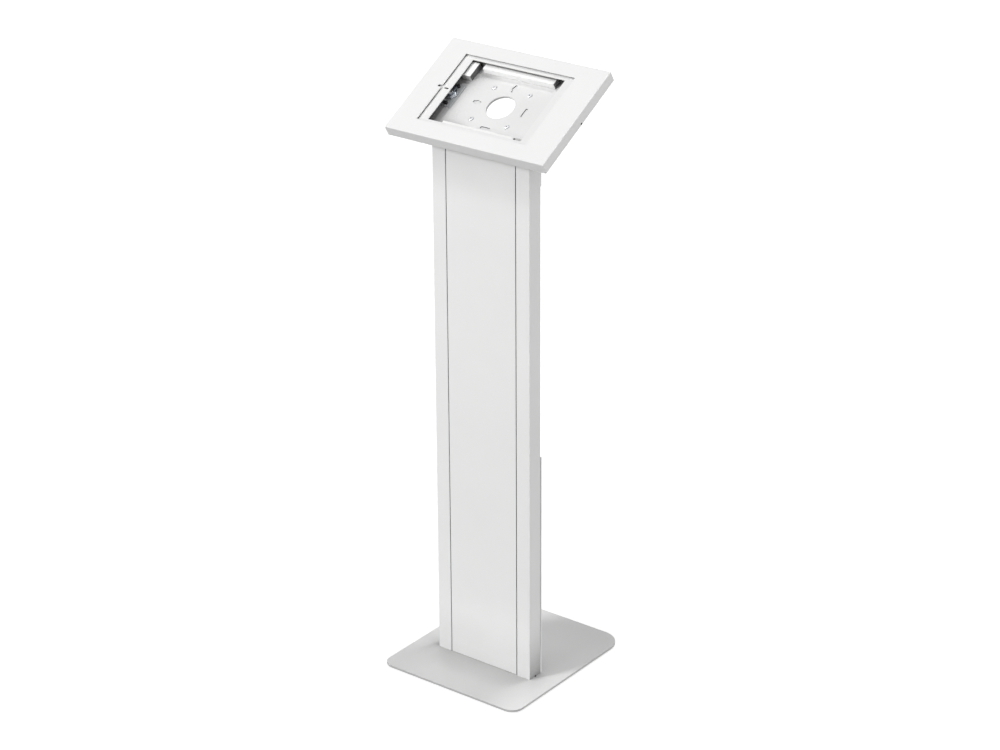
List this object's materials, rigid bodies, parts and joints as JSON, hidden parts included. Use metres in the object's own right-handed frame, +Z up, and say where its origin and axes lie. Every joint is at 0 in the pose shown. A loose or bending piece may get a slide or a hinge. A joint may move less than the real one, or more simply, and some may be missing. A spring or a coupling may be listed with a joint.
{
  "type": "tablet kiosk stand",
  "caption": "Free-standing floor stand with a slim column and a locked, sloped steel head that frames a flat tablet behind a screen window.",
  "frame": {"origin": "centre of the base plate's footprint, on the floor under the foot pads", "axes": "+Z up, the front faces -Y, +X to the viewer's right when facing the front"},
  "size_m": [0.3355, 0.3356, 1.1248],
  "materials": {
    "white_paint": "fine-textured white powder coat, satin",
    "zinc": "bright zinc plate, satin",
    "dark_zinc": "blue-grey passivated zinc plate",
    "lock_metal": "bright nickel",
    "brass": "satin brass",
    "black_steel": "black oxide, satin",
    "black_rubber": "matt black rubber",
    "grey_rubber": "matt dark grey rubber",
    "white_foam": "soft closed-cell white foam"
  },
  "bodies": {
    "stand": {"base_plate": "white_paint", "foot_pads": "grey_rubber", "base_screws": "zinc", "foot_bracket": "zinc", "foot_screws": "zinc", "upright_left": "white_paint", "upright_right": "white_paint", "cross_members": "zinc", "member_screws": "zinc", "front_panel": "white_paint", "panel_nuts": "zinc", "rear_panel": "white_paint", "rear_panel_screws": "zinc", "head_bracket": "white_paint", "bracket_screws": "zinc", "back_tray": "white_paint", "tray_screws": "zinc", "foam_bar_top": "white_foam", "foam_bar_bottom": "white_foam", "foam_block": "white_foam", "lock_plate": "dark_zinc", "lock_barrel": "lock_metal", "lock_nut": "lock_metal", "lock_buffers": "black_rubber"},
    "cover": {"front_cover": "white_paint", "bezel_plate": "white_paint", "bezel_nuts": "zinc", "keeper_plate": "zinc", "hook_plate": "zinc", "hook_screw": "black_steel"},
    "lock": {"lock_core": "brass", "lock_cam": "dark_zinc", "cam_screw": "zinc"},
    "access": {"rear_cover": "white_paint", "rear_cover_screws": "zinc", "cable_grommet": "black_rubber"}
  },
  "joints": [
    {"name": "cover_swing", "type": "hinge", "parent": "stand", "child": "cover", "pos_m": [0.15875, -0.00279, 1.0595], "axis": [0, 0.863, 0.5051], "range_deg": [0, 35]},
    {"name": "lock_turn", "type": "hinge", "parent": "stand", "child": "lock", "pos_m": [-0.105, -0.00102, 1.05312], "axis": [0, -0.5051, 0.863], "range_deg": [0, 90]},
    {"name": "access_lift", "type": "slide", "parent": "stand", "child": "access", "axis": [0, 1, 0], "range_m": [0, 0.06]}
  ]
}
